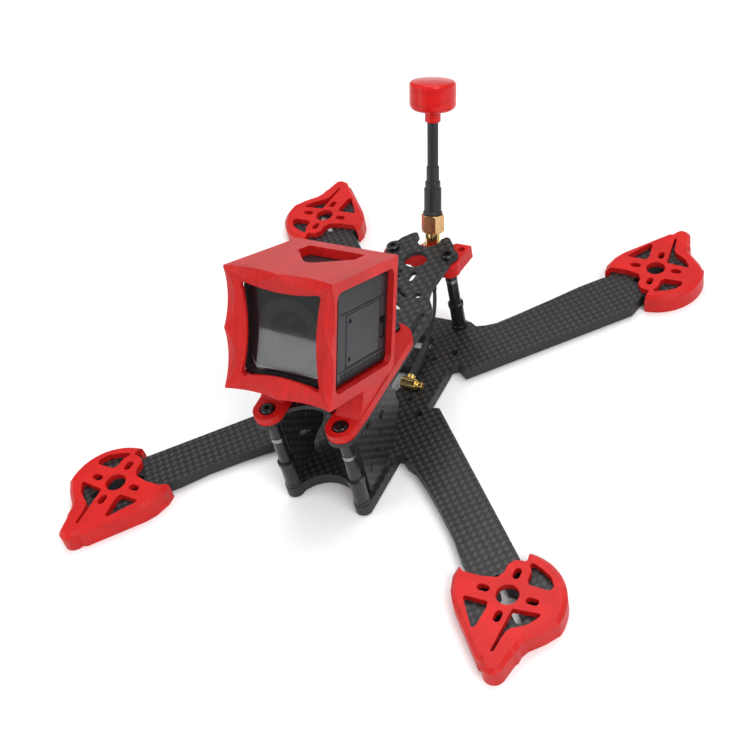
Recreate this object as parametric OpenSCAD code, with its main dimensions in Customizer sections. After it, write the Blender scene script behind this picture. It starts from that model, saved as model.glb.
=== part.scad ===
// FPV racing drone airframe: carbon plates, printed arm-end guards, action camera and antenna.
// Origin: centre of the footprint on the ground. +Z up, nose towards -Y, the drone's left is +X.

/* [Plates] */
// thickness of the one-piece carbon main plate
main_t = 5; // [4:0.5:6]
// thickness of the carbon top plate
top_t = 2; // [1.5:0.5:3]
// thickness of the upright camera side plates
side_t = 2; // [1.5:0.5:2.5]
// gap between the ground and the main plate
ground_gap = 1; // [1:0.5:2]
// clear height between the main plate and the top plate
standoff_h = 37; // [35:1:40]

/* [Motor seats] */
// sideways distance from the centre line to a motor axis
motor_x = 85.3; // [84:0.1:88]
// lengthways distance from the centre to a motor axis
motor_y = 90.8; // [89:0.1:94]
// radius from the motor axis to the middle of a bolt slot
motor_slot_r = 9.2; // [8.5:0.1:9.5]

/* [Guards] */
// thickness of a guard's upright wall
guard_wall = 2.4; // [2:0.2:2.8]
// thickness of the guard sheet above the carbon
guard_sheet = 2.8; // [2:0.2:3.4]

/* [Fasteners] */
// outside diameter of a standoff
standoff_d = 5; // [4.5:0.25:5.5]
// diameter of a button screw head
head_d = 5.6; // [5.2:0.1:5.8]

/* [Antenna] */
// radius of the antenna cap
cap_r = 9.6; // [8:0.2:10]
// distance from the coupling nut to the cap
stem_len = 39.5; // [35:0.5:45]

/* [Hidden] */
$fn = 48;
e = 0.02;
plate_top = ground_gap + main_t;
top_low = plate_top + standoff_h;
top_high = top_low + top_t;
front_post = [15.4, -66.9];
rear_post = [12.7, 35.3];
cage_screw = [11.7, -14.4];
screw_r = 1.45;
screw_hole_r = 1.6;
thread_hole_r = 1.5;
head_h = 1.65;
slot_w = 3.2;
slot_l = 5;
ring_z = 25.8;
// camera cage, in its own tilted frame: +Y runs back from the front plane, +Z up from its floor
cage_tilt = 26.4;
cage_y = -77.3;
cage_rise = 23;
cage_hw = 21.3;
cage_h = 45;
cage_d = 47.5;
cage_wall = 2.35;
cage_floor = 3.5;
cam_hw = 18.8;
cam_h = 37.8;
cam_front = 6.5;
cam_back = 44.5;
door_d0 = 15.6;
door_d1 = 39;
door_u0 = 11;
door_u1 = 30;
door_t = 1.8;
hinge_r = 0.9;
latch_d = 39.9;
latch_u = 14.8;
latch_w = 3.6;
latch_h = 8.4;
button_d = 31;
button_r = 4.5;
lens_u = 22.4;
// antenna axis: it leans back, and s is the distance along it from this foot
ant_lean = 19.7;
ant_foot = [0, 47.4, plate_top + 36.2];
jack_r = 3.175;
nut_s0 = 4;
nut_s1 = 11.8;
nut_af = 8.8;
jack_top = 8.4;
plug_r = 2.6;
stem_r = 2.3;
cap_s = nut_s1 + stem_len;
cap_h = 12;
neck_h = 4.9;
mount_low = top_low - 8.5;
mount_t = 6;
// video lead
lead_r = 0.9;
lead_pts = [[0, 41.7, 26.2], [0.3, 40.5, 22.6], [1, 39, 19.8], [2.2, 35.5, 17], [3.4, 30.2, 13.6],
    [4.6, 21.5, 10.6], [5.6, 13.2, 8.6], [6.3, 5, 8], [6.8, -2, 8.2]];
lead_rings = 4;
lead_sides = 8;

// ---------- shared helpers ----------
// points on an arc, both ends included
function arc(c, r, a0, a1, n) =
    [for (i = [0:n]) [c[0] + r * cos(a0 + (a1 - a0) * i / n), c[1] + r * sin(a0 + (a1 - a0) * i / n)]];

module both_sides() {
    children();
    mirror([1, 0, 0]) children();
}

module posts() {
    for (p = [front_post, rear_post])
        both_sides() translate([p[0], p[1], 0]) children();
}

module radial_slot(angle, mid, length, width) {
    flat = length - width;
    rotate(angle) translate([mid, 0]) {
        square([flat, width], center = true);
        for (side = [-flat / 2, flat / 2])
            translate([side, 0]) circle(d = width);
    }
}

module rounded(r) {
    offset(r = r, $fn = 24) offset(delta = -r) children();
}

module filleted(r) {
    offset(delta = -r) offset(r = r, $fn = 24) children();
}

// one clean outline out of overlapping shapes
module merged() {
    offset(delta = 0.01) offset(delta = -0.01) children();
}

module button_screw(length) {
    color([0.1, 0.1, 0.11]) difference() {
        union() {
            rotate_extrude() polygon(concat([[0, 0]], [[head_d / 2, 0]],
                [for (i = [0:5])
                    [head_d / 2 - 0.9 + 0.9 * cos(i * 15), 0.35 + (head_h - 0.35) * sin(i * 18)]],
                [[0, head_h]]));
            translate([0, 0, -length]) cylinder(r = screw_r, h = length + e, $fn = 32);
        }
        translate([0, 0, head_h - 1]) cylinder(d = 2.3, h = 2, $fn = 6);
    }
}

// ---------- carbon main plate ----------
// motor end of an arm, about the motor axis; X outboard, Y towards the middle of the drone
module guard_fill_2d() {
    filleted(2.5) rounded(1.2) union() {
        polygon(concat(
            arc([0.6, -0.6], 20.4, -12, 92, 20),
            [[-7, 15], [-21.6, 6.8]],
            [[-22, 2], [-20.3, -4], [-17.8, -8.2], [-1, -26.6], [9, -22],
                [10.7, -19.5], [11, -16.8], [12.3, -14.2], [14.7, -11.9], [17.3, -9.2], [19.3, -6.4]]));
        hull() {
            translate([4.6, -26]) circle(r = 4.1);
            translate([3.4, -18]) circle(r = 7);
        }
    }
}

module arm_holes_2d() {
    circle(r = 3.9);
    for (a = [0:90:270])
        radial_slot(a, motor_slot_r, slot_l, slot_w);
    for (a = [135, 315])
        radial_slot(a, 7, 8.4, slot_w);
}

module at_motors() {
    for (m = [[1, -1], [-1, -1], [1, 1], [-1, 1]])
        translate([m[0] * motor_x, m[1] * motor_y])
            mirror([m[0] < 0 ? 1 : 0, 0]) mirror([0, m[1] > 0 ? 1 : 0]) children();
}

// the left half of the plate's outline without the motor ends
module half_plate_2d() {
    rear_arm = [[20, 36.8], [24, 38.4], [28, 41], [35, 48.8], [45, 60.6], [55, 72.8], [62.4, 80.5],
        [motor_x - 18, motor_y - 6], [motor_x - 1, motor_y - 15], [82, 66]];
    front_arm = [[24.5, -13.5], [motor_x - 2, 17 - motor_y], [motor_x - 3, 12 - motor_y],
        [motor_x - 18, 6 - motor_y], [62.3, -79.7], [55, -70.6], [45, -60.6], [35, -51.2], [28, -45.6],
        [24, -44.2], [21, -41.6], [18.9, -41.6]];
    filleted(1) polygon(concat(
        [[-1, 37.6], [8.6, 37.6], [9.4, 38.8], [16.6, 38.8]],
        rear_arm,
        [[26.5, 9.5], [22, 12.6], [19.3, 11]],
        [[19.3, -14.5]],
        front_arm,
        [[18.9, -66.9], [12.4, -68]],
        arc([0, -71.6], 13, 24, 90, 8),
        [[-1, -58.6]]));
}

module plate_holes_2d() {
    for (p = [front_post, rear_post, [17.3, 18.75], [17.3, -18.75]])
        translate(p) circle(r = screw_hole_r);
    for (y = [-12.5, 12.5])
        translate([10.2, y]) circle(r = 1.1);
}

module plate_outline_2d() {
    merged() difference() {
        union() {
            both_sides() half_plate_2d();
            both_sides() translate(front_post) circle(r = 3.5);
            both_sides() translate(rear_post) circle(r = 4.4);
            at_motors() offset(delta = -guard_wall - 0.1) guard_fill_2d();
        }
        rounded(1.5) polygon([[-5.6, 17], [5.6, 17], [5.8, 24.4], [3, 25.2], [-3, 25.2], [-5.8, 24.4]]);
        rounded(1.2) polygon([[-3.9, 5.6], [3.9, 5.6], [3.9, -6], [2.4, -9.4], [-2.4, -9.4], [-3.9, -6]]);
    }
}

module main_plate() {
    color([0.13, 0.13, 0.14]) difference() {
        translate([0, 0, ground_gap]) linear_extrude(main_t) plate_outline_2d();
        translate([0, 0, -1]) linear_extrude(main_t + 5) {
            both_sides() plate_holes_2d();
            at_motors() arm_holes_2d();
        }
        // countersinks for the screws from below
        posts() translate([0, 0, ground_gap - e]) cylinder(r1 = 3.1, r2 = screw_hole_r, h = 1.7);
    }
}

// ---------- carbon top plate ----------
module half_top_2d() {
    polygon(concat(
        [[-1, 39.4]],
        arc([0, 44.7], 5.3, -90, 0, 8),
        [[5.3, 45.6]],
        arc([7.4, 45.4], 2, 110, 35, 4),
        [[12, 43], [13, 40.4]],
        arc([12.9, 36.6], 3.6, 75, -10, 6),
        [[15.2, 33], [14.9, 24], [14.4, 15], [15.5, 10], [19, 5]],
        arc([16.6, 0], 4.4, 30, 0, 3),
        [[21, -60.9]],
        arc([front_post[0], front_post[1]], 5.8, 15, -140, 10),
        arc([0, -72], 14, 42, 90, 6),
        [[-1, -58]]));
}

module top_plate() {
    color([0.14, 0.14, 0.15]) difference() {
        translate([0, 0, top_low]) linear_extrude(top_t) merged() difference() {
            both_sides() half_top_2d();
            rounded(3) translate([-7, -50]) square([14, 30]);
        }
        translate([0, 0, top_low - 1]) linear_extrude(top_t + 2) {
            translate([0, 30.5]) circle(r = 5);
            both_sides() {
                for (p = [front_post, rear_post, cage_screw])
                    translate(p) circle(r = screw_hole_r);
                translate([10.5, 9.5]) circle(r = 1.5);
                translate([3.2, 20]) radial_slot(90, 0, 6, 2.6);
                translate([3.4, 9.6]) radial_slot(-28, 0, 7.4, 2.4);
                translate([4.8, 1.6]) radial_slot(-28, 0, 5.8, 2.4);
                translate([17.3, -14]) radial_slot(90, 0, 28, 2);
            }
        }
    }
}

// ---------- upright camera side plates ----------
module side_plate_2d() {
    difference() {
        rounded(0.6) polygon(concat(
            [[-62.8, 0], [-48.8, 0], [-48, 3.6]],
            [[-44.4, 5.4], [-38.6, 6.4], [-36.6, 11], [-34, 15]],
            arc([-25, 23.5], 6.6, 215, 155, 5),
            [[-34, 32], [-33, 34.4], [-33, standoff_h], [-62.8, standoff_h]]));
        translate([-44, 25.5]) circle(r = 2);
        translate([-53.5, 30.5]) circle(r = 2);
        translate([-47.5, 19.5]) circle(r = 1.1);
        translate([-51.2, 13]) radial_slot(-42, 0, 8.4, 1.8);
        translate([-58.6, 10.8]) radial_slot(60, 0, 3.6, 1.2);
    }
}

module camera_plate(side) {
    color([0.13, 0.13, 0.14])
        translate([side > 0 ? 15.5 : -15.5 - side_t, 0, plate_top])
            rotate([90, 0, 90]) linear_extrude(side_t) side_plate_2d();
}

module left_camera_plate() {
    camera_plate(1);
}

module right_camera_plate() {
    camera_plate(-1);
}

// ---------- printed guards on the arm ends ----------
// top sheet with its windows, cut back where the arm comes in
module guard_sheet_2d() {
    difference() {
        guard_fill_2d();
        // arm side, behind the two bolt lugs
        rounded(1) polygon([[-26, 7.4], [-21.4, 6.4], [-19, 4.2], [-12, 4.3], [-6.2, 5.6], [-4.5, 8.4],
            [-4.4, 12], [-2.6, 14.4], [0, 15], [2.6, 14.4], [4.4, 12], [4.6, 7.4], [5.8, 6], [13.4, 6],
            [14.3, 8], [12, 11.5], [8, 13.8], [4, 15.2], [1.5, 15.8], [0.4, 24], [-26, 24]]);
        rounded(0.8) polygon([[-15.2, -5], [-5.6, -4.7], [-5, -7.2], [-5.8, -15.2], [-7, -16.4]]);
        rounded(0.5) polygon([[3.6, -4.8], [13.8, -3.7], [13.6, -5.2], [11, -9], [8, -11], [6, -12.3],
            [4.8, -14], [4.2, -17], [3.6, -22.6], [2.4, -22.6]]);
    }
}

module guard_wall_2d() {
    difference() {
        guard_fill_2d();
        offset(delta = -guard_wall) guard_fill_2d();
        polygon([[-26, 7], [-21.6, 6.3], [-14, 0], [-6, 0], [1, 12], [0.4, 24], [-26, 24]]);
    }
}

module guard() {
    step = 0.8;
    steps = 2;
    color([0.85, 0.12, 0.1]) difference() {
        union() {
            linear_extrude(plate_top) merged() guard_wall_2d();
            translate([0, 0, plate_top]) linear_extrude(guard_sheet - steps * step) merged() guard_sheet_2d();
            // stepped chamfer between the wall and the top of the sheet
            for (i = [1:steps])
                translate([0, 0, plate_top + guard_sheet - (steps + 1 - i) * step - e])
                    linear_extrude(step + e) merged() intersection() {
                        guard_sheet_2d();
                        offset(delta = -i * step) guard_fill_2d();
                    }
        }
        translate([0, 0, plate_top - 1]) linear_extrude(guard_sheet + 2) {
            circle(r = 4.2);
            for (a = [0:90:270])
                radial_slot(a, motor_slot_r, 4.8, 2.8);
        }
    }
}

module placed_guard(sx, sy) {
    translate([sx * motor_x, sy * motor_y, 0])
        mirror([sx < 0 ? 1 : 0, 0, 0]) mirror([0, sy > 0 ? 1 : 0, 0]) guard();
}

module front_left_guard() {
    placed_guard(1, -1);
}

module front_right_guard() {
    placed_guard(-1, -1);
}

module rear_left_guard() {
    placed_guard(1, 1);
}

module rear_right_guard() {
    placed_guard(-1, 1);
}

// ---------- standoffs and screws ----------
module standoffs() {
    r = standoff_d / 2;
    color([0.08, 0.08, 0.09]) posts() translate([0, 0, plate_top]) difference() {
        rotate_extrude() polygon([[0, 0], [r + 0.8, 0], [r + 0.8, 1.4], [r + 0.55, 1.8], [r + 0.55, 11.8],
            [r + 0.9, 12.1], [r + 0.9, 13.6], [r, 14], [r, ring_z - 0.2], [r - 0.3, ring_z],
            [r - 0.3, ring_z + 2], [r, ring_z + 2.2], [r, standoff_h], [0, standoff_h]]);
        translate([0, 0, -e]) cylinder(r = thread_hole_r, h = 9, $fn = 32);
        translate([0, 0, standoff_h - 9 + e]) cylinder(r = thread_hole_r, h = 9, $fn = 32);
    }
}

// polished band high on each standoff
module standoff_rings() {
    r = standoff_d / 2;
    color([0.6, 0.6, 0.62]) posts() translate([0, 0, plate_top + ring_z + 0.1]) difference() {
        cylinder(r = r + 0.12, h = 1.8);
        translate([0, 0, -1]) cylinder(r = r - 0.3, h = 5);
    }
}

module bottom_screws() {
    color([0.1, 0.1, 0.11]) posts() translate([0, 0, ground_gap]) difference() {
        union() {
            cylinder(r1 = 3, r2 = screw_r, h = 1.65);
            cylinder(r = screw_r, h = main_t + 7, $fn = 32);
        }
        translate([0, 0, -e]) cylinder(d = 2.3, h = 1.1, $fn = 6);
    }
}

module top_plate_screws() {
    both_sides() translate([rear_post[0], rear_post[1], top_high]) button_screw(top_t + 7);
}

module cage_front_screws() {
    both_sides() translate([front_post[0], front_post[1], top_high + 2.4]) button_screw(top_t + 2.4 + 7);
}

module cage_rear_screws() {
    both_sides() translate([cage_screw[0], cage_screw[1], top_high + 3.2]) button_screw(top_t + 3.2 + 1.5);
}

// ---------- printed camera cage ----------
module at_cage() {
    translate([0, cage_y, top_high + cage_rise]) rotate([-cage_tilt, 0, 0]) children();
}

// a flat bar drawn in the side view: d runs back, u runs up
module side_view(x, w) {
    translate([x, 0, 0]) rotate([90, 0, 90]) linear_extrude(w) children();
}

module cage_foot_2d() {
    merged() {
        hull() {
            translate(front_post) circle(r = 5.6);
            translate([10.8, -58]) square([10.7, 20]);
        }
        hull() {
            translate([10.8, -40]) square([10.7, 10]);
            translate([12.5, -20]) circle(r = 9);
            translate([7.6, -16]) square([4, 4]);
        }
    }
}

// one hollow of the front rim: it runs out towards the opening
module rim_hollow() {
    hull() {
        cylinder(r = 23.2, h = e, $fn = 96);
        translate([0, 0, 9.2]) cylinder(r = 25.7, h = e, $fn = 96);
    }
}

module rim_scallops() {
    for (u = [cage_h / 4 + 0.4, cage_h * 3 / 4 - 0.4]) {
        translate([12.6, -23.2, u]) rotate([0, 90, 0]) rim_hollow();
        translate([-12.6, -23.2, u]) rotate([0, -90, 0]) rim_hollow();
    }
    for (x = [cage_hw / 2, -cage_hw / 2]) {
        translate([x, -23.2, 36]) rim_hollow();
        translate([x, -23.2, 9]) rotate([180, 0, 0]) rim_hollow();
    }
}

// the pinched opening in the front wall
module pinched_opening() {
    half_w = 16.2;
    half_h = 17.6;
    pinch = 2.3;
    bend_w = (half_h * half_h + pinch * pinch) / (2 * pinch);
    bend_h = (half_w * half_w + pinch * pinch) / (2 * pinch);
    rounded(1.2) difference() {
        square([2 * half_w, 2 * half_h], center = true);
        for (s = [-1, 1]) {
            translate([s * (half_w - pinch + bend_w), 0]) circle(r = bend_w, $fn = 96);
            translate([0, s * (half_h - pinch + bend_h)]) circle(r = bend_h, $fn = 96);
        }
    }
}

module front_funnel() {
    w = cage_hw - 0.3;
    v = 14.2;
    c = cage_h / 2;
    g = 15.4;
    polyhedron(points = [[-w, -0.2, 0.3], [w, -0.2, 0.3], [w, -0.2, cage_h - 0.3], [-w, -0.2, cage_h - 0.3],
        [-v, 2.8, c - g], [v, 2.8, c - g], [v, 2.8, c + g], [-v, 2.8, c + g]],
        faces = [[3, 2, 1, 0], [4, 5, 6, 7], [0, 1, 5, 4], [1, 2, 6, 5], [2, 3, 7, 6], [3, 0, 4, 7]]);
}

module cage_box() {
    difference() {
        translate([-cage_hw, 0, 0]) cube([2 * cage_hw, cage_d, cage_h]);
        // room for the camera
        translate([-cage_hw + cage_wall, cam_front, cage_floor])
            cube([2 * (cage_hw - cage_wall), cage_d - cam_front - 2.2, cage_h - 2 * cage_floor]);
        // relief in front of the camera's face
        translate([-18.2, 4.7, cage_floor + 0.7]) cube([36.4, 4, cage_h - 2 * cage_floor - 1.4]);
        // side windows
        side_view(-30, 60) rounded(3) translate([3.8, 4.5]) square([41, 36.5]);
        // back opening
        translate([-16, 30, 6.5]) cube([32, 30, cage_h - 13]);
        // top window
        translate([0, 0, 30]) linear_extrude(30) hull() {
            translate([-11.7, 32.5]) square([23.4, 8]);
            translate([0, 22.5]) circle(r = 3);
        }
        translate([0, 8, cage_h / 2]) rotate([90, 0, 0]) linear_extrude(9) pinched_opening();
        front_funnel();
        rim_scallops();
    }
}

// height just inside the tilted floor at a distance along the drone
function inside_floor(y) = top_high + cage_rise + 0.8 - (y - cage_y) * tan(cage_tilt);

// solid wedge between a foot and the tilted floor of the cage, open towards the nose
module cage_wedge() {
    low = top_high + 3;
    front = -55.4;
    back = -36.4;
    side_view(11, 10.1) polygon([[-63, low], [-60, low + 2.2], [-57.2, low + 5.6],
        [front, inside_floor(front)], [back, inside_floor(back)], [back, low - 1.4], [-63, low - 1.4]]);
}

module camera_cage() {
    color([0.85, 0.12, 0.1]) difference() {
        union() {
            at_cage() cage_box();
            both_sides() cage_wedge();
            both_sides() translate([0, 0, top_high]) linear_extrude(3.4) cage_foot_2d();
        }
        both_sides() {
            for (p = [front_post, cage_screw])
                translate([p[0], p[1], top_high - 1]) cylinder(r = screw_hole_r, h = 8);
            translate([front_post[0], front_post[1], top_high + 2.4]) cylinder(r = 3.2, h = 8.6);
            translate([cage_screw[0], cage_screw[1], top_high + 3.2]) cylinder(r = 3.2, h = 8);
        }
    }
}

// ---------- action camera ----------
module front_profile_2d(inset, r) {
    translate([0, cage_floor + cam_h / 2]) rounded(r)
        square([2 * (cam_hw - inset), cam_h - 2 * inset], center = true);
}

// a slab of the camera, given as its front depth, thickness, inset and corner radius
module front_slab(d, t, inset, r) {
    translate([0, d + t, 0]) rotate([90, 0, 0]) linear_extrude(t) front_profile_2d(inset, r);
}

module lens_disc(r, d, t) {
    translate([0, d + t, lens_u]) rotate([90, 0, 0]) cylinder(r = r, h = t, $fn = 72);
}

module camera_body() {
    color([0.2, 0.2, 0.22]) at_cage() difference() {
        union() {
            front_slab(cam_front + 2.4, cam_back - cam_front - 2.4, 0, 4);
            front_slab(cam_front + 1, 1.4 + e, 0.7, 3.8);
            front_slab(cam_front, 1 + e, 1.7, 3.4);
        }
        // seat for the front window
        front_slab(cam_front - 1, 2.2, 3.2, 2.4);
        lens_disc(12.4, cam_front, 8);
        // recess for the door and its hinge
        side_view(cam_hw - door_t - 0.3, 5)
            translate([door_d0, door_u0 - 0.3]) square([door_d1 - door_d0 + 0.3, door_u1 - door_u0 + 0.6]);
        side_view(cam_hw - hinge_r, 5)
            translate([door_d0 - 1.4, door_u0 - 0.3]) square([3, door_u1 - door_u0 + 0.6]);
        translate([cam_hw - hinge_r, door_d0, door_u0 - 0.3])
            cylinder(r = hinge_r + 0.3, h = door_u1 - door_u0 + 0.6, $fn = 32);
        translate([cam_hw - hinge_r, door_d0, door_u0 - 1.6])
            cylinder(r = 0.45, h = door_u1 - door_u0 + 3.2, $fn = 24);
        // latch slot
        side_view(cam_hw - 2, 5) translate([latch_d, latch_u]) square([latch_w, latch_h]);
        // seam round the upper body and the line behind the door
        side_view(cam_hw - 0.35, 5) translate([cam_front + 3.4, 31]) square([60, 0.4]);
        side_view(cam_hw - 0.35, 5) translate([39.45, 10.4]) square([0.35, 20.7]);
        side_view(cam_hw - 0.35, 5) translate([cam_front + 3.4, 10.1]) square([60, 0.35]);
        side_view(-cam_hw - 4.65, 5) translate([cam_front + 3.4, 31]) square([60, 0.4]);
        // ribbed grip bands low on both sides
        for (i = [0:25]) {
            side_view(cam_hw - 0.4, 5) translate([11.4 + i * 1.25, 4.7]) square([0.6, 4.8]);
            side_view(-cam_hw - 4.6, 5) translate([11.4 + i * 1.25, 4.7]) square([0.6, 4.8]);
        }
        // shutter button well
        translate([0, button_d, cage_floor + cam_h - 2.4]) cylinder(r = button_r + 0.35, h = 5);
    }
}

// flat cover over the whole face; the ring and the lens sit behind it
module front_window() {
    color([0.05, 0.05, 0.06]) at_cage() front_slab(cam_front + 0.2, 0.9, 3.2, 2.4);
}

// thin bright line let into the cover's lower edge
module window_trim() {
    color([0.7, 0.7, 0.72]) at_cage() difference() {
        front_slab(cam_front + 0.08, 0.12, 4.8, 2.6);
        front_slab(cam_front - 1, 3, 5.15, 2.4);
        translate([-30, 0, cage_floor + 9]) cube([60, 20, 60]);
    }
}

module lens_ring() {
    color([0.07, 0.07, 0.08]) at_cage() difference() {
        lens_disc(12.4, cam_front + 1.4, 2.4);
        lens_disc(7.6, cam_front - 1, 8);
        lens_disc(11.6, cam_front + 1.2, 0.6);
    }
}

module lens_barrel() {
    color([0.05, 0.05, 0.06]) at_cage() difference() {
        lens_disc(7.6, cam_front + 1.6, 6.4);
        lens_disc(6.2, cam_front - 1, 7.6);
        translate([0, cam_front + 1.5, lens_u]) rotate([-90, 0, 0])
            cylinder(r1 = 7.2, r2 = 6.2, h = 1.2, $fn = 72);
    }
}

module lens_glass() {
    color([0.08, 0.08, 0.14]) at_cage() translate([0, cam_front + 6.6, lens_u]) rotate([90, 0, 0])
        rotate_extrude() polygon(concat([[0, 0], [6.2, 0]],
            [for (i = [0:8]) [6.2 * cos(i * 90 / 8), 0.8 + 2 * sin(i * 90 / 8)]]));
}

// hinged cover on the camera's left side; it turns on its front edge
module side_door() {
    color([0.22, 0.22, 0.24]) at_cage() {
        difference() {
            side_view(cam_hw - door_t, door_t)
                translate([door_d0, door_u0]) square([door_d1 - door_d0, door_u1 - door_u0]);
            for (u = [door_u0 + 1.8, door_u1 - 3.2])
                side_view(cam_hw - 0.5, 2) translate([door_d0 + 0.9, u]) square([1.6, 1.4]);
        }
        translate([cam_hw - hinge_r, door_d0, door_u0])
            cylinder(r = hinge_r, h = door_u1 - door_u0, $fn = 32);
        translate([cam_hw - hinge_r, door_d0, door_u0 - 1.4])
            cylinder(r = 0.4, h = door_u1 - door_u0 + 2.8, $fn = 24);
    }
}

module card_latch() {
    color([0.12, 0.12, 0.13]) at_cage()
        side_view(cam_hw - 1.7, 1.4) translate([latch_d + 0.6, latch_u + 0.3]) square([latch_w - 1.2, 5.2]);
}

module shutter_button() {
    color([0.16, 0.16, 0.17]) at_cage() translate([0, button_d, cage_floor + cam_h - 1.1])
        rotate_extrude() polygon([[0, 0], [button_r, 0], [button_r, 0.9], [button_r - 0.4, 1.3], [0, 1.3]]);
}

// ---------- antenna ----------
module at_antenna(s) {
    translate(ant_foot) rotate([-ant_lean, 0, 0]) translate([0, 0, s]) children();
}

module antenna_mount_2d() {
    merged() {
        both_sides() translate(rear_post) circle(r = 4.6);
        polygon([[-13, 35], [13, 35], [15, 38], [9.5, 43.4], [-9.5, 43.4], [-15, 38]]);
        translate([-7, 40]) square([14, 12.4]);
        // side ear behind the left standoff
        polygon([[9, 36], [15.8, 32], [17.2, 36.4], [18.4, 46.8], [11.4, 46.8], [8, 43]]);
    }
}

module antenna_mount() {
    color([0.85, 0.12, 0.1]) difference() {
        union() {
            translate([0, 0, top_low - mount_t]) linear_extrude(mount_t) antenna_mount_2d();
            translate([-6.9, 37, mount_low]) cube([13.8, 15.3, top_low - mount_low - 1]);
        }
        posts() translate([0, 0, mount_low - 1]) cylinder(r = standoff_d / 2 + 0.3, h = 12);
        at_antenna(-4) translate([-7.01, -5.2, 0]) cube([14.02, 20, 20]);
        at_antenna(-12.5) cylinder(r = jack_r + 0.1, h = 20);
        at_antenna(-29) translate([-4.8, -5.2, 0]) cube([9.6, 12, 20]);
        // cross hole through the ear
        translate([15.2, 43.6, mount_low - 1]) cylinder(r = 1.5, h = 12);
    }
}

module antenna_socket() {
    color([0.85, 0.62, 0.2]) difference() {
        union() {
            at_antenna(-9) cylinder(r = jack_r, h = jack_top + 9, $fn = 48);
            at_antenna(-11.5) cylinder(d = 8 / cos(30), h = 2.5, $fn = 6);
            at_antenna(-17) cylinder(r = 1.9, h = 5.6, $fn = 32);
        }
        at_antenna(jack_top - 3) cylinder(r = 2.3, h = 4, $fn = 32);
    }
}

module socket_nut() {
    color([0.85, 0.62, 0.2]) difference() {
        at_antenna(-4) cylinder(d = 8 / cos(30), h = 2, $fn = 6);
        at_antenna(-5) cylinder(r = jack_r + 0.02, h = 4, $fn = 48);
    }
}

module coupling_nut() {
    corner = nut_af / cos(30) / 2;
    h = nut_s1 - nut_s0;
    color([0.8, 0.5, 0.25]) at_antenna(nut_s0) rotate(8) difference() {
        intersection() {
            cylinder(r = corner, h = h, $fn = 6);
            rotate_extrude() polygon([[0, 0], [corner - 0.6, 0], [corner, 0.7], [corner, h - 0.7],
                [corner - 0.6, h], [0, h]]);
        }
        translate([0, 0, -1]) cylinder(r = jack_r + 0.05, h = 5.8, $fn = 48);
        translate([0, 0, 4.5]) cylinder(r = 3.45, h = 1.9, $fn = 48);
        translate([0, 0, 1]) cylinder(r = plug_r + 0.05, h = 10, $fn = 48);
    }
}

module antenna_plug() {
    color([0.85, 0.62, 0.2]) at_antenna(jack_top) {
        cylinder(r = 3.1, h = 1.6);
        cylinder(r = plug_r, h = nut_s1 + 1.5 - jack_top);
    }
}

module antenna_sleeve() {
    color([0.1, 0.1, 0.11]) at_antenna(nut_s1 + 0.3) rotate_extrude() polygon([[plug_r, 0], [4.1, 0],
        [4.1, 0.8], [3.7, 1.2], [3.7, 10.9], [3.45, 11.2], [3.25, 11.25], [3.25, 13.8], [3.05, 14.1],
        [2.7, 14.15], [2.7, 20.3], [stem_r, 20.5], [stem_r, 1.2], [plug_r, 1.2]]);
}

module antenna_stem() {
    color([0.12, 0.12, 0.13]) at_antenna(nut_s1 + 1.5) cylinder(r = stem_r, h = cap_s + 1.5 - nut_s1);
}

module antenna_cap() {
    color([0.85, 0.1, 0.1]) at_antenna(cap_s) difference() {
        rotate_extrude($fn = 72) polygon(concat([[0, 0], [3.1, 0], [3.3, 0.3], [3.3, neck_h - 0.4],
            [3.7, neck_h]],
            arc([cap_r - 2.6, neck_h + 2.6], 2.6, -90, 0, 6),
            arc([cap_r - 1.5, neck_h + cap_h - 1.9], 1.5, 0, 80, 5),
            [[cap_r - 4.5, neck_h + cap_h - 0.15], [0, neck_h + cap_h]]));
        translate([0, 0, -1]) cylinder(r = stem_r, h = 4);
    }
}

// ---------- video lead ----------
// a smooth curve through the route points
function route(i, t) =
    let (n = len(lead_pts), p0 = lead_pts[max(i - 1, 0)], p1 = lead_pts[i], p2 = lead_pts[i + 1],
        p3 = lead_pts[min(i + 2, n - 1)])
    0.5 * (2 * p1 + (p2 - p0) * t + (2 * p0 - 5 * p1 + 4 * p2 - p3) * t * t
        + (3 * p1 - p0 - 3 * p2 + p3) * t * t * t);

function route_line() = concat([for (i = [0:len(lead_pts) - 2]) for (k = [0:lead_rings - 1])
    route(i, k / lead_rings)], [lead_pts[len(lead_pts) - 1]]);

function unit(v) = v / norm(v);

function ring(line, i, r) =
    let (a = line[max(i - 1, 0)], b = line[min(i + 1, len(line) - 1)], t = unit(b - a),
        s = unit(cross(t, [1, 0, 0])), q = cross(s, t))
    [for (k = [0:lead_sides - 1])
        let (a = 360 * k / lead_sides) line[i] + r * (cos(a) * s + sin(a) * q)];

module swept(line, r) {
    n = len(line);
    m = lead_sides;
    points = [for (i = [0:n - 1]) for (p = ring(line, i, r)) p];
    sides = [for (i = [0:n - 2]) for (k = [0:m - 1])
        [i * m + k, (i + 1) * m + k, (i + 1) * m + (k + 1) % m, i * m + (k + 1) % m]];
    caps = [[for (k = [0:m - 1]) k], [for (k = [m - 1:-1:0]) (n - 1) * m + k]];
    polyhedron(points = points, faces = concat(sides, caps));
}

module video_lead() {
    color([0.08, 0.08, 0.09]) swept(route_line(), lead_r);
}

function part_line(from, to) = [for (i = [from:to]) route_line()[i]];

module lead_sleeves() {
    n = len(route_line()) - 1;
    color([0.1, 0.1, 0.1]) {
        swept(part_line(0, 7), 1.25);
        swept(part_line(n - 10, n), 1.9);
    }
}

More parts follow.
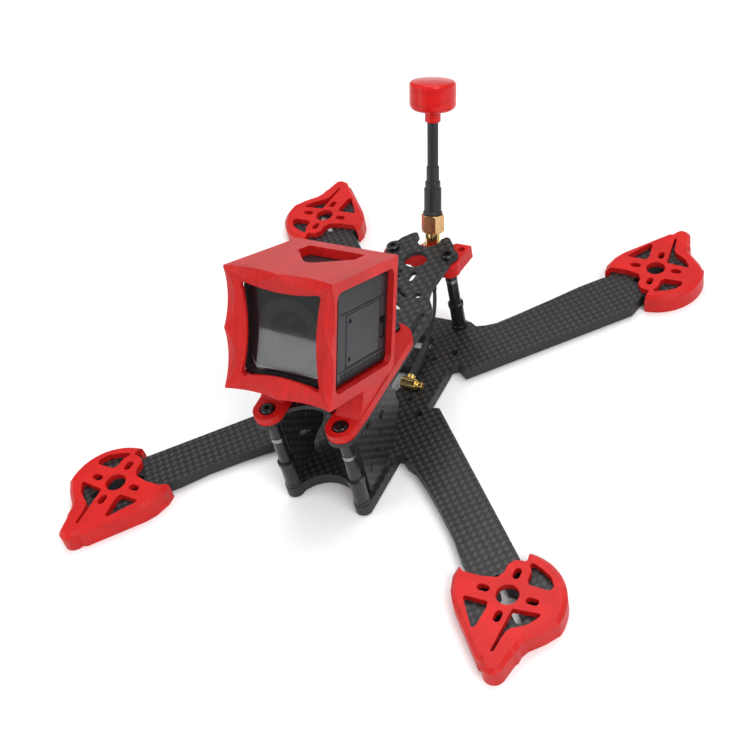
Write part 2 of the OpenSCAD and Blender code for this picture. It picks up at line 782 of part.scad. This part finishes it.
module lead_plug() {
    tip = lead_pts[len(lead_pts) - 1];
    can_r = 2.4;
    color([0.85, 0.62, 0.2]) {
        translate(tip) rotate([90, 0, 0]) {
            cylinder(r = 2.1, h = 1, $fn = 32);
            cylinder(r = 1.7, h = 3, $fn = 32);
        }
        // right-angle head, lying on the plate with its mating end outwards
        translate([tip[0] - 2.5, tip[1] - 3.8, plate_top + can_r]) rotate([0, 90, 0]) {
            cylinder(r = can_r, h = 6.5, $fn = 40);
            cylinder(r = 1.9, h = 7.3, $fn = 40);
            cylinder(r = 1.3, h = 9.8, $fn = 40);
            translate([0, 0, 8.6]) cylinder(r = 1.55, h = 0.7, $fn = 40);
        }
    }
}

main_plate();
top_plate();
left_camera_plate();
right_camera_plate();
front_left_guard();
front_right_guard();
rear_left_guard();
rear_right_guard();
standoffs();
standoff_rings();
bottom_screws();
top_plate_screws();
cage_front_screws();
cage_rear_screws();
camera_cage();
camera_body();
front_window();
lens_ring();
lens_barrel();
lens_glass();
window_trim();
side_door();
card_latch();
shutter_button();
antenna_mount();
antenna_socket();
socket_nut();
coupling_nut();
antenna_plug();
antenna_sleeve();
antenna_stem();
antenna_cap();
video_lead();
lead_sleeves();
lead_plug();
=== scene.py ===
"""Looks of the racing drone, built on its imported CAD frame."""

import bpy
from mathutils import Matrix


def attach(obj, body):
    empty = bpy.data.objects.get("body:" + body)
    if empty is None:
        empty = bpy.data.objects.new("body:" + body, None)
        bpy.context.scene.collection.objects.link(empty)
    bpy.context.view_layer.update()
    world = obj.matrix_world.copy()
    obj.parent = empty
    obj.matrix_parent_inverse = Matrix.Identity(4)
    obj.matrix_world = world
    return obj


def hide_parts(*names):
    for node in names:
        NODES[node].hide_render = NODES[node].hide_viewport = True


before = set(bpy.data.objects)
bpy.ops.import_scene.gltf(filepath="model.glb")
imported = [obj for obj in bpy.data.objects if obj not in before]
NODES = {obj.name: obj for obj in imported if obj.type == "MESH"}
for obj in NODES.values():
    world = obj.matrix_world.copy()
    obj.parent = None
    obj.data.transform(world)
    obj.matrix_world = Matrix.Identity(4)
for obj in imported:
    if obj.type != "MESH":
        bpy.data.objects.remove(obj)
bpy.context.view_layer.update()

import math
import bmesh
import bpy
from mathutils import Matrix, Vector
from mathutils.kdtree import KDTree

MM = 0.001

# ---------- camera ----------
# fitted to the photograph: lens and film width in mm, place in m, angles in degrees
LENS = 54.667
FILM_WIDTH = 36
SHIFT_X = -0.1
CAMERA_AT = Vector((0.19724, -0.28681, 0.33656))
AZIMUTH, ELEVATION, ROLL = (math.radians(a) for a in (31.435, 43.772, -11.047))


def put(name, data):
    """A new object in the scene that holds the data."""
    obj = bpy.data.objects.new(name, data)
    bpy.context.scene.collection.objects.link(obj)
    return obj


def camera():
    """The photograph's camera: above the nose, on the drone's left, and slightly rolled."""
    level = math.cos(ELEVATION)
    ahead = Vector((-math.sin(AZIMUTH) * level, math.cos(AZIMUTH) * level, -math.sin(ELEVATION)))
    flat_right = Vector((math.cos(AZIMUTH), math.sin(AZIMUTH), 0))
    flat_up = flat_right.cross(ahead)
    right = flat_right * math.cos(ROLL) + flat_up * math.sin(ROLL)
    up = right.cross(ahead)
    cam = put("camera", bpy.data.cameras.new("camera"))
    facing = Matrix((right, up, -ahead)).transposed()
    cam.matrix_world = Matrix.Translation(CAMERA_AT) @ facing.to_4x4()
    cam.data.lens = LENS
    cam.data.sensor_width = FILM_WIDTH
    cam.data.shift_x = SHIFT_X
    cam.data.clip_start = 0.01
    cam.data.dof.use_dof = False
    bpy.context.scene.camera = cam


# ---------- node helpers ----------
def set_sockets(node, values):
    """Sets a node's inputs by name."""
    for key, value in values.items():
        node.inputs[key].default_value = value


class Nodes:
    """Short way to build a material's node tree; most methods return the new node's output."""

    def __init__(self, name):
        self.mat = bpy.data.materials.new(name)
        self.mat.use_nodes = True
        self.tree = self.mat.node_tree
        self.shader = self.tree.nodes["Principled BSDF"]

    def add(self, kind, **settings):
        """The new node itself, with its settings."""
        node = self.tree.nodes.new(kind)
        for key, value in settings.items():
            setattr(node, key, value)
        return node

    def link(self, output, socket):
        self.tree.links.new(output, socket)

    def coords(self, scale):
        """The piece's own coordinates in metres, times the scale."""
        tex = self.add("ShaderNodeTexCoord")
        mapping = self.add("ShaderNodeMapping")
        mapping.inputs["Scale"].default_value = scale
        self.link(tex.outputs["Object"], mapping.inputs["Vector"])
        return mapping.outputs["Vector"]

    def math(self, op, a, b=None, clamp=False):
        """One Math node; a and b are numbers or outputs."""
        node = self.add("ShaderNodeMath", operation=op, use_clamp=clamp)
        for i, v in enumerate((a, b)):
            if v is None:
                continue
            if isinstance(v, (int, float)):
                node.inputs[i].default_value = v
            else:
                self.link(v, node.inputs[i])
        return node.outputs[0]

    def choose(self, which, a, b):
        """a where which is 1, and b where it is 0."""
        return self.math("ADD", self.math("MULTIPLY", which, a),
                         self.math("MULTIPLY", self.math("SUBTRACT", 1, which), b))

    def split(self, vector):
        """The vector's three parts."""
        node = self.add("ShaderNodeSeparateXYZ")
        self.link(vector, node.inputs[0])
        return node.outputs

    def noise(self, vector, scale, detail=4, rough=0.6):
        """A soft noise over the coordinates, about 0.3 to 0.7."""
        node = self.add("ShaderNodeTexNoise")
        set_sockets(node, {"Scale": scale, "Detail": detail, "Roughness": rough})
        self.link(vector, node.inputs["Vector"])
        return node.outputs["Fac"]

    def mix(self, fac, a, b):
        """A blend from a to b; each is a colour or an output."""
        node = self.add("ShaderNodeMix", data_type="RGBA")
        self.link(fac, node.inputs["Factor"])
        # the node's colour sockets: A and B are inputs 6 and 7, the result is output 2
        for socket, v in ((node.inputs[6], a), (node.inputs[7], b)):
            if isinstance(v, tuple):
                socket.default_value = (*v, 1)
            else:
                self.link(v, socket)
        return node.outputs[2]

    def ramp(self, fac, low, high):
        """Spreads the middle of a noise, 0.3 to 0.7, over low to high."""
        node = self.add("ShaderNodeMapRange")
        set_sockets(node, {"From Min": 0.3, "From Max": 0.7, "To Min": low, "To Max": high})
        self.link(fac, node.inputs["Value"])
        return node.outputs[0]

    def bump(self, height, distance, strength=0.6):
        """A bumped normal; the distance is in metres."""
        node = self.add("ShaderNodeBump")
        set_sockets(node, {"Distance": distance, "Strength": strength})
        self.link(height, node.inputs["Height"])
        return node.outputs["Normal"]

    def done(self, **values):
        """Sets the shader's sockets, named with _ for a space, and returns the material."""
        for key, value in values.items():
            socket = self.shader.inputs[key.replace("_", " ")]
            if isinstance(value, (int, float, tuple)):
                socket.default_value = value
            else:
                self.link(value, socket)
        return self.mat


# ---------- materials ----------
PER_MM = (1 / MM,) * 3     # scale of coordinates that count millimetres
PLY = 0.35                 # mm, one layer of the laminate
FILAMENTS = 70             # radians of ripple across one tow
TOOL_MARKS = tuple(g / MM / 60 for g in (40, 40, 600))    # scale, 15 times finer along z
# painted shade: the darker red laid along the printed layer lines
LAYER_SHADE_RED = (0.3, 0.004, 0.004)


def carbon(name, tow=2.0, face=(0, 1)):
    """Plain-woven carbon laminate with tows of that width in mm under a satin resin.

    face holds the two axes that the weave runs along; the cut edges show plies.
    """
    n = Nodes(name)
    co = n.coords((1 / (tow * MM),) * 3)
    parts = n.split(co)
    normal = n.split(n.add("ShaderNodeNewGeometry").outputs["Normal"])
    through = 3 - sum(face)    # the third axis, through the plate
    wobble = n.noise(co, 0.35, 2)
    u = n.math("ADD", parts[face[0]], n.math("MULTIPLY", wobble, 0.16))
    v = n.math("ADD", parts[face[1]], n.math("MULTIPLY", wobble, -0.14))
    across_u, across_v = n.math("FRACT", u), n.math("FRACT", v)
    # which tow is on top: (column + row) is even
    parity = n.math("FLOORED_MODULO", n.math("ADD", n.math("FLOOR", u), n.math("FLOOR", v)), 2)
    over = n.math("LESS_THAN", parity, 0.5)
    # the top tow's crown across its width, and the fine filaments along it
    crown = n.choose(over, n.math("SINE", n.math("MULTIPLY", across_u, math.pi)),
                     n.math("SINE", n.math("MULTIPLY", across_v, math.pi)))
    filaments = n.choose(over, n.math("SINE", n.math("MULTIPLY", across_u, FILAMENTS)),
                         n.math("SINE", n.math("MULTIPLY", across_v, FILAMENTS)))
    patch = n.noise(co, 0.9, 3)
    shade = n.mix(over, (0.008, 0.008, 0.009), (0.042, 0.042, 0.045))
    deep = n.mix(n.math("POWER", crown, 0.8), (0.006, 0.006, 0.007), shade)
    varied = n.mix(n.ramp(patch, 0.0, 0.25), deep, (0.02, 0.02, 0.022))
    # cut edges are plain dark resin with faint ply lines
    edge = n.math("SUBTRACT", 1, n.math("ABSOLUTE", normal[through]), clamp=True)
    is_edge = n.math("GREATER_THAN", edge, 0.5)
    plies = n.math("SINE", n.math("MULTIPLY", parts[through], 2 * math.pi * tow / PLY))
    ply_tint = n.mix(n.ramp(plies, 0.2, 0.8), (0.014, 0.014, 0.015), (0.03, 0.03, 0.032))
    height = n.math("ADD", n.math("MULTIPLY", crown, 0.8), n.math("MULTIPLY", filaments, 0.05))
    height = n.math("MULTIPLY", height, n.math("SUBTRACT", 1, is_edge))
    rough = n.math("ADD", n.ramp(patch, 0.3, 0.44), n.math("MULTIPLY", is_edge, 0.2))
    return n.done(Base_Color=n.mix(is_edge, varied, ply_tint), Roughness=rough,
                  Normal=n.bump(height, 0.00009), Coat_Weight=0.05, Coat_Roughness=0.22,
                  Specular_IOR_Level=0.3)


def red_print(name, build=2, layer=0.28, deep=(0.5, 0.005, 0.004), pale=(0.68, 0.011, 0.009),
              depth=0.00007, rough=(0.32, 0.46), streak=0.35):
    """Printed flexible plastic: fine layer lines, small blobs, streaks and a soft sheen.

    build is the axis that the layers stack along, layer their height in mm, depth the bump's in m.
    """
    n = Nodes(name)
    co = n.coords(PER_MM)
    parts = n.split(co)
    wander = n.noise(co, 0.6, 3)
    level = n.math("ADD", parts[build], n.math("MULTIPLY", wander, 0.12))
    line = n.math("SINE", n.math("MULTIPLY", level, 2 * math.pi / layer))
    blobs = n.noise(co, 2.2, 4, 0.7)
    fine = n.noise(co, 9.0, 2)
    # long uneven streaks along the laid beads
    bead = tuple((1.1 if axis == build else 0.035) / MM for axis in range(3))
    streaks = n.noise(n.coords(bead), 1.0, 4, 0.75)
    height = n.math("ADD", n.math("MULTIPLY", line, 0.5), n.math("MULTIPLY", blobs, 0.9))
    height = n.math("ADD", height, n.math("MULTIPLY", fine, 0.35))
    height = n.math("ADD", height, n.math("MULTIPLY", streaks, streak * 4))
    colour = n.mix(n.ramp(n.noise(co, 0.12, 3), 0.2, 0.8), deep, pale)
    colour = n.mix(n.ramp(streaks, streak, 0.0), colour, tuple(c * 0.5 for c in deep))
    # painted shade: the layer lines are darkened towards a deeper red
    colour = n.mix(n.ramp(line, 0.0, 0.2), colour, LAYER_SHADE_RED)
    return n.done(Base_Color=colour, Roughness=n.ramp(blobs, *rough), Normal=n.bump(height, depth),
                  Subsurface_Weight=0.05, Subsurface_Scale=0.001,
                  Subsurface_Radius=(1.0, 0.2, 0.1), Specular_IOR_Level=0.26)


def metal(name, colour, rough, metallic=1.0, coat=0.0, dark=None):
    """Turned or plated metal with fine tool marks and small stains, dark where it is stained."""
    n = Nodes(name)
    marks = n.noise(n.coords(TOOL_MARKS), 1.0, 4, 0.7)
    stain = n.noise(n.coords(PER_MM), 0.5, 3)
    tint = n.mix(n.ramp(stain, 0.0, 0.6), colour, dark or tuple(c * 0.7 for c in colour))
    return n.done(Base_Color=tint, Metallic=metallic, Coat_Weight=coat, Coat_Roughness=0.1,
                  Roughness=n.ramp(marks, rough * 0.75, rough * 1.35),
                  Normal=n.bump(marks, 0.00002, 0.5))


def grained(name, colour, rough, scale=6.0, depth=0.00003):
    """Moulded plastic with a fine spark-eroded grain, slight wear and dust in the tone."""
    n = Nodes(name)
    co = n.coords(PER_MM)
    grain = n.noise(co, scale, 3)
    wear = n.noise(co, 0.25)
    tint = n.mix(n.ramp(wear, 0.0, 0.5), colour, tuple(c * 1.45 + 0.008 for c in colour))
    return n.done(Base_Color=tint, Roughness=n.ramp(grain, rough * 0.85, rough * 1.15),
                  Specular_IOR_Level=0.35, Normal=n.bump(grain, depth))


def gloss(name, colour, rough=0.06, coat=0.6, alpha=1.0):
    """Polished dark plastic or glass with faint wipe marks."""
    n = Nodes(name)
    wipe = n.noise(n.coords(PER_MM), 0.15, 5, 0.7)
    tint = n.mix(n.ramp(wipe, 0.0, 0.3), colour, tuple(c * 1.5 + 0.004 for c in colour))
    return n.done(Base_Color=tint, Roughness=n.ramp(wipe, rough * 0.7, rough * 1.8),
                  Specular_IOR_Level=0.6, Coat_Weight=coat, Coat_Roughness=0.04, Alpha=alpha)


MATS = {
    "carbon": carbon("carbon_weave"),
    "carbon_top": carbon("carbon_weave_top", tow=2.3),
    "carbon_side": carbon("carbon_weave_upright", face=(1, 2)),
    "red": red_print("red_print_upright"),
    "cage": red_print("red_print_cage", build=0, layer=0.46, depth=0.0002, streak=0.5),
    "cap": red_print("red_cap", layer=5.0, deep=(0.52, 0.007, 0.006), pale=(0.62, 0.01, 0.009),
                     depth=0.00003, rough=(0.12, 0.2), streak=0.0),
    "black_metal": metal("black_anodised", (0.014, 0.014, 0.016), 0.3, 0.4, coat=0.15),
    "trim": metal("trim_line", (0.28, 0.28, 0.29), 0.3),
    "screw": metal("black_steel", (0.02, 0.02, 0.022), 0.2, 0.7, coat=0.3),
    "gold": metal("gold_plate", (1.0, 0.78, 0.34), 0.2, dark=(0.86, 0.56, 0.18)),
    "copper_gold": metal("nut_plate", (0.86, 0.6, 0.3), 0.2, dark=(0.62, 0.36, 0.14)),
    "shell": grained("camera_shell", (0.008, 0.009, 0.012), 0.4),
    "door": grained("camera_door", (0.011, 0.012, 0.016), 0.38, scale=7.0),
    "latch": grained("latch_plastic", (0.008, 0.008, 0.009), 0.4, scale=7.0),
    "cover": gloss("cover_glass", (0.012, 0.012, 0.014), rough=0.02, coat=1.0, alpha=0.5),
    "gloss": gloss("dark_gloss", (0.006, 0.006, 0.008)),
    "ring": gloss("ring_gloss", (0.09, 0.09, 0.095), rough=0.3, coat=0.1),
    "lens": gloss("lens_glass", (0.006, 0.005, 0.009), rough=0.03),
    "rubber": grained("cable_jacket", (0.012, 0.012, 0.014), 0.44, 3.0, 0.00004),
    "shrink": grained("heat_shrink", (0.014, 0.014, 0.016), 0.36, 1.6, 0.00006),
}

# which of them each CAD node wears
FINISH = {
    "main_plate": "carbon", "top_plate": "carbon_top",
    "left_camera_plate": "carbon_side", "right_camera_plate": "carbon_side",
    "front_left_guard": "red", "front_right_guard": "red",
    "rear_left_guard": "red", "rear_right_guard": "red",
    "standoffs": "black_metal", "standoff_rings": "trim",
    "bottom_screws": "screw", "top_plate_screws": "screw",
    "cage_front_screws": "screw", "cage_rear_screws": "screw",
    "camera_cage": "cage", "camera_body": "shell", "front_window": "cover",
    "lens_ring": "ring", "lens_barrel": "gloss", "lens_glass": "lens", "window_trim": "trim",
    "side_door": "door", "card_latch": "latch", "shutter_button": "gloss",
    "antenna_mount": "red", "antenna_socket": "gold", "socket_nut": "gold",
    "coupling_nut": "copper_gold", "antenna_plug": "gold", "antenna_sleeve": "shrink",
    "antenna_stem": "rubber", "antenna_cap": "cap",
    "video_lead": "rubber", "lead_sleeves": "shrink", "lead_plug": "gold",
}

for node_name, finish in FINISH.items():
    piece = NODES[node_name]
    piece.data.materials.clear()
    piece.data.materials.append(MATS[finish])


# ---------- edges ----------
# width in mm of the rounded edges on the hard parts that aren't guards
SOFT_EDGES = {
    "main_plate": 0.15, "top_plate": 0.12, "left_camera_plate": 0.12, "right_camera_plate": 0.12,
    "camera_body": 0.3, "side_door": 0.15, "antenna_mount": 0.25, "camera_cage": 0.2,
    "coupling_nut": 0.12,
}
GUARDS = ("front_left_guard", "front_right_guard", "rear_left_guard", "rear_right_guard")
# heights in mm of a guard's stepped edge, from the lowest step to the top
GUARD_LEVELS = (7.2, 8.0, 8.8)
# corners closer than this, in mm, count as one
SAME = 0.004


def soften(piece, width, segments=2, angle=40):
    """Rounds a hard part's edges by the width in mm, where they turn more than the angle."""
    mod = piece.modifiers.new("edge", "BEVEL")
    mod.width = width * MM
    mod.segments = segments
    mod.limit_method = "ANGLE"
    mod.angle_limit = math.radians(angle)
    mod.harden_normals = True
    mod.use_clamp_overlap = True


def sloped_guard(node_name):
    """A copy of a guard whose stepped edge is drawn up into one straight slope."""
    source = NODES[node_name]
    to_world = source.matrix_world
    to_local = to_world.inverted()
    bm = bmesh.new()
    bm.from_mesh(source.data)
    at = {v: to_world @ v.co / MM for v in bm.verts}     # in mm, in the drone's frame
    # every corner of a step moves up to the level above, if that level has a corner right over it
    moves = []
    for low, high in zip(GUARD_LEVELS, GUARD_LEVELS[1:]):
        above = [p for p in at.values() if abs(p.z - high) < SAME]
        tree = KDTree(len(above))
        for i, p in enumerate(above):
            tree.insert((p.x, p.y, 0), i)
        tree.balance()
        for v, p in at.items():
            if abs(p.z - low) < SAME and tree.find((p.x, p.y, 0))[2] < SAME:
                moves.append((v, Vector((p.x, p.y, high)) * MM))
    for v, target in moves:
        v.co = to_local @ target
    bmesh.ops.remove_doubles(bm, verts=bm.verts, dist=SAME * MM)
    bmesh.ops.dissolve_degenerate(bm, edges=bm.edges, dist=SAME * MM)
    bmesh.ops.dissolve_limit(bm, angle_limit=math.radians(1), verts=bm.verts, edges=bm.edges)
    mesh = bpy.data.meshes.new(node_name + "_sloped")
    bm.to_mesh(mesh)
    bm.free()
    piece = put(node_name + "_sloped", mesh)
    piece.matrix_world = to_world
    mesh.materials.append(MATS[FINISH[node_name]])
    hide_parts(node_name)
    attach(piece, "airframe")
    soften(piece, 0.3, 3, 30)


for node_name in GUARDS:
    sloped_guard(node_name)
for node_name, width in SOFT_EDGES.items():
    soften(NODES[node_name], width)


# ---------- floor and light ----------
FLOOR_HALF = 6             # m, half the floor's width
# strength of the white world at the horizon and overhead, and the heights it changes between
HORIZON, CEILING = 0.42, 0.6
RISE_FROM, RISE_TO = 0.1, 0.75
# lamps: name, place, what it points at, width and height, all in m, and power in W
LAMPS = (
    ("key", (0.9, -0.5, 1.0), (0, 0, 0.03), (0.7, 0.7), 11),
    ("fill", (-0.9, -0.8, 0.7), (0, 0, 0.03), (0.9, 0.6), 4.5),
    # a low white card before the nose: its upper edge shows across the middle of the flat cover
    ("card", (-1.01, -1.84, 0.115), (0, -0.06, 0.115), (1.8, 0.225), 3.2),
    ("top", (0, 0.5, 1.3), (0, 0, 0), (1.2, 0.8), 9),
)


def floor():
    """A plain white floor with a faint tone."""
    mesh = bpy.data.meshes.new("floor")
    h = FLOOR_HALF
    mesh.from_pydata([(-h, -h, 0), (h, -h, 0), (h, h, 0), (-h, h, 0)], [], [(0, 1, 2, 3)])
    obj = put("floor", mesh)
    n = Nodes("floor")
    tone = n.ramp(n.noise(n.coords((1, 1, 1)), 2.0, 3), 0, 1)
    colour = n.mix(tone, (0.93, 0.93, 0.935), (0.95, 0.95, 0.95))
    mesh.materials.append(n.done(Base_Color=colour, Roughness=0.6, Specular_IOR_Level=0.2))


def lamp(name, at, to, size, power):
    """A soft rectangular lamp."""
    data = bpy.data.lights.new(name, "AREA")
    data.shape = "RECTANGLE"
    data.size, data.size_y = size
    data.energy = power
    obj = put(name, data)
    obj.location = at
    obj.rotation_euler = (Vector(to) - Vector(at)).to_track_quat("-Z", "Y").to_euler()


def surroundings():
    """White all round, a little darker towards the horizon."""
    studio = bpy.data.worlds.new("studio")
    bpy.context.scene.world = studio
    studio.use_nodes = True
    tree = studio.node_tree
    back = tree.nodes["Background"]
    set_sockets(back, {"Color": (1, 1, 1, 1)})
    place = tree.nodes.new("ShaderNodeTexCoord")
    parts = tree.nodes.new("ShaderNodeSeparateXYZ")
    rise = tree.nodes.new("ShaderNodeMapRange")
    rise.interpolation_type = "SMOOTHSTEP"
    set_sockets(rise, {"From Min": RISE_FROM, "From Max": RISE_TO,
                       "To Min": HORIZON, "To Max": CEILING})
    tree.links.new(place.outputs["Generated"], parts.inputs[0])
    tree.links.new(parts.outputs["Z"], rise.inputs["Value"])
    tree.links.new(rise.outputs[0], back.inputs["Strength"])


def exposure():
    """Plain colours, as the camera sees them."""
    view = bpy.context.scene.view_settings
    view.view_transform = "Standard"
    view.look = "None"
    view.exposure = 0


camera()
floor()
surroundings()
for row in LAMPS:
    lamp(*row)
exposure()
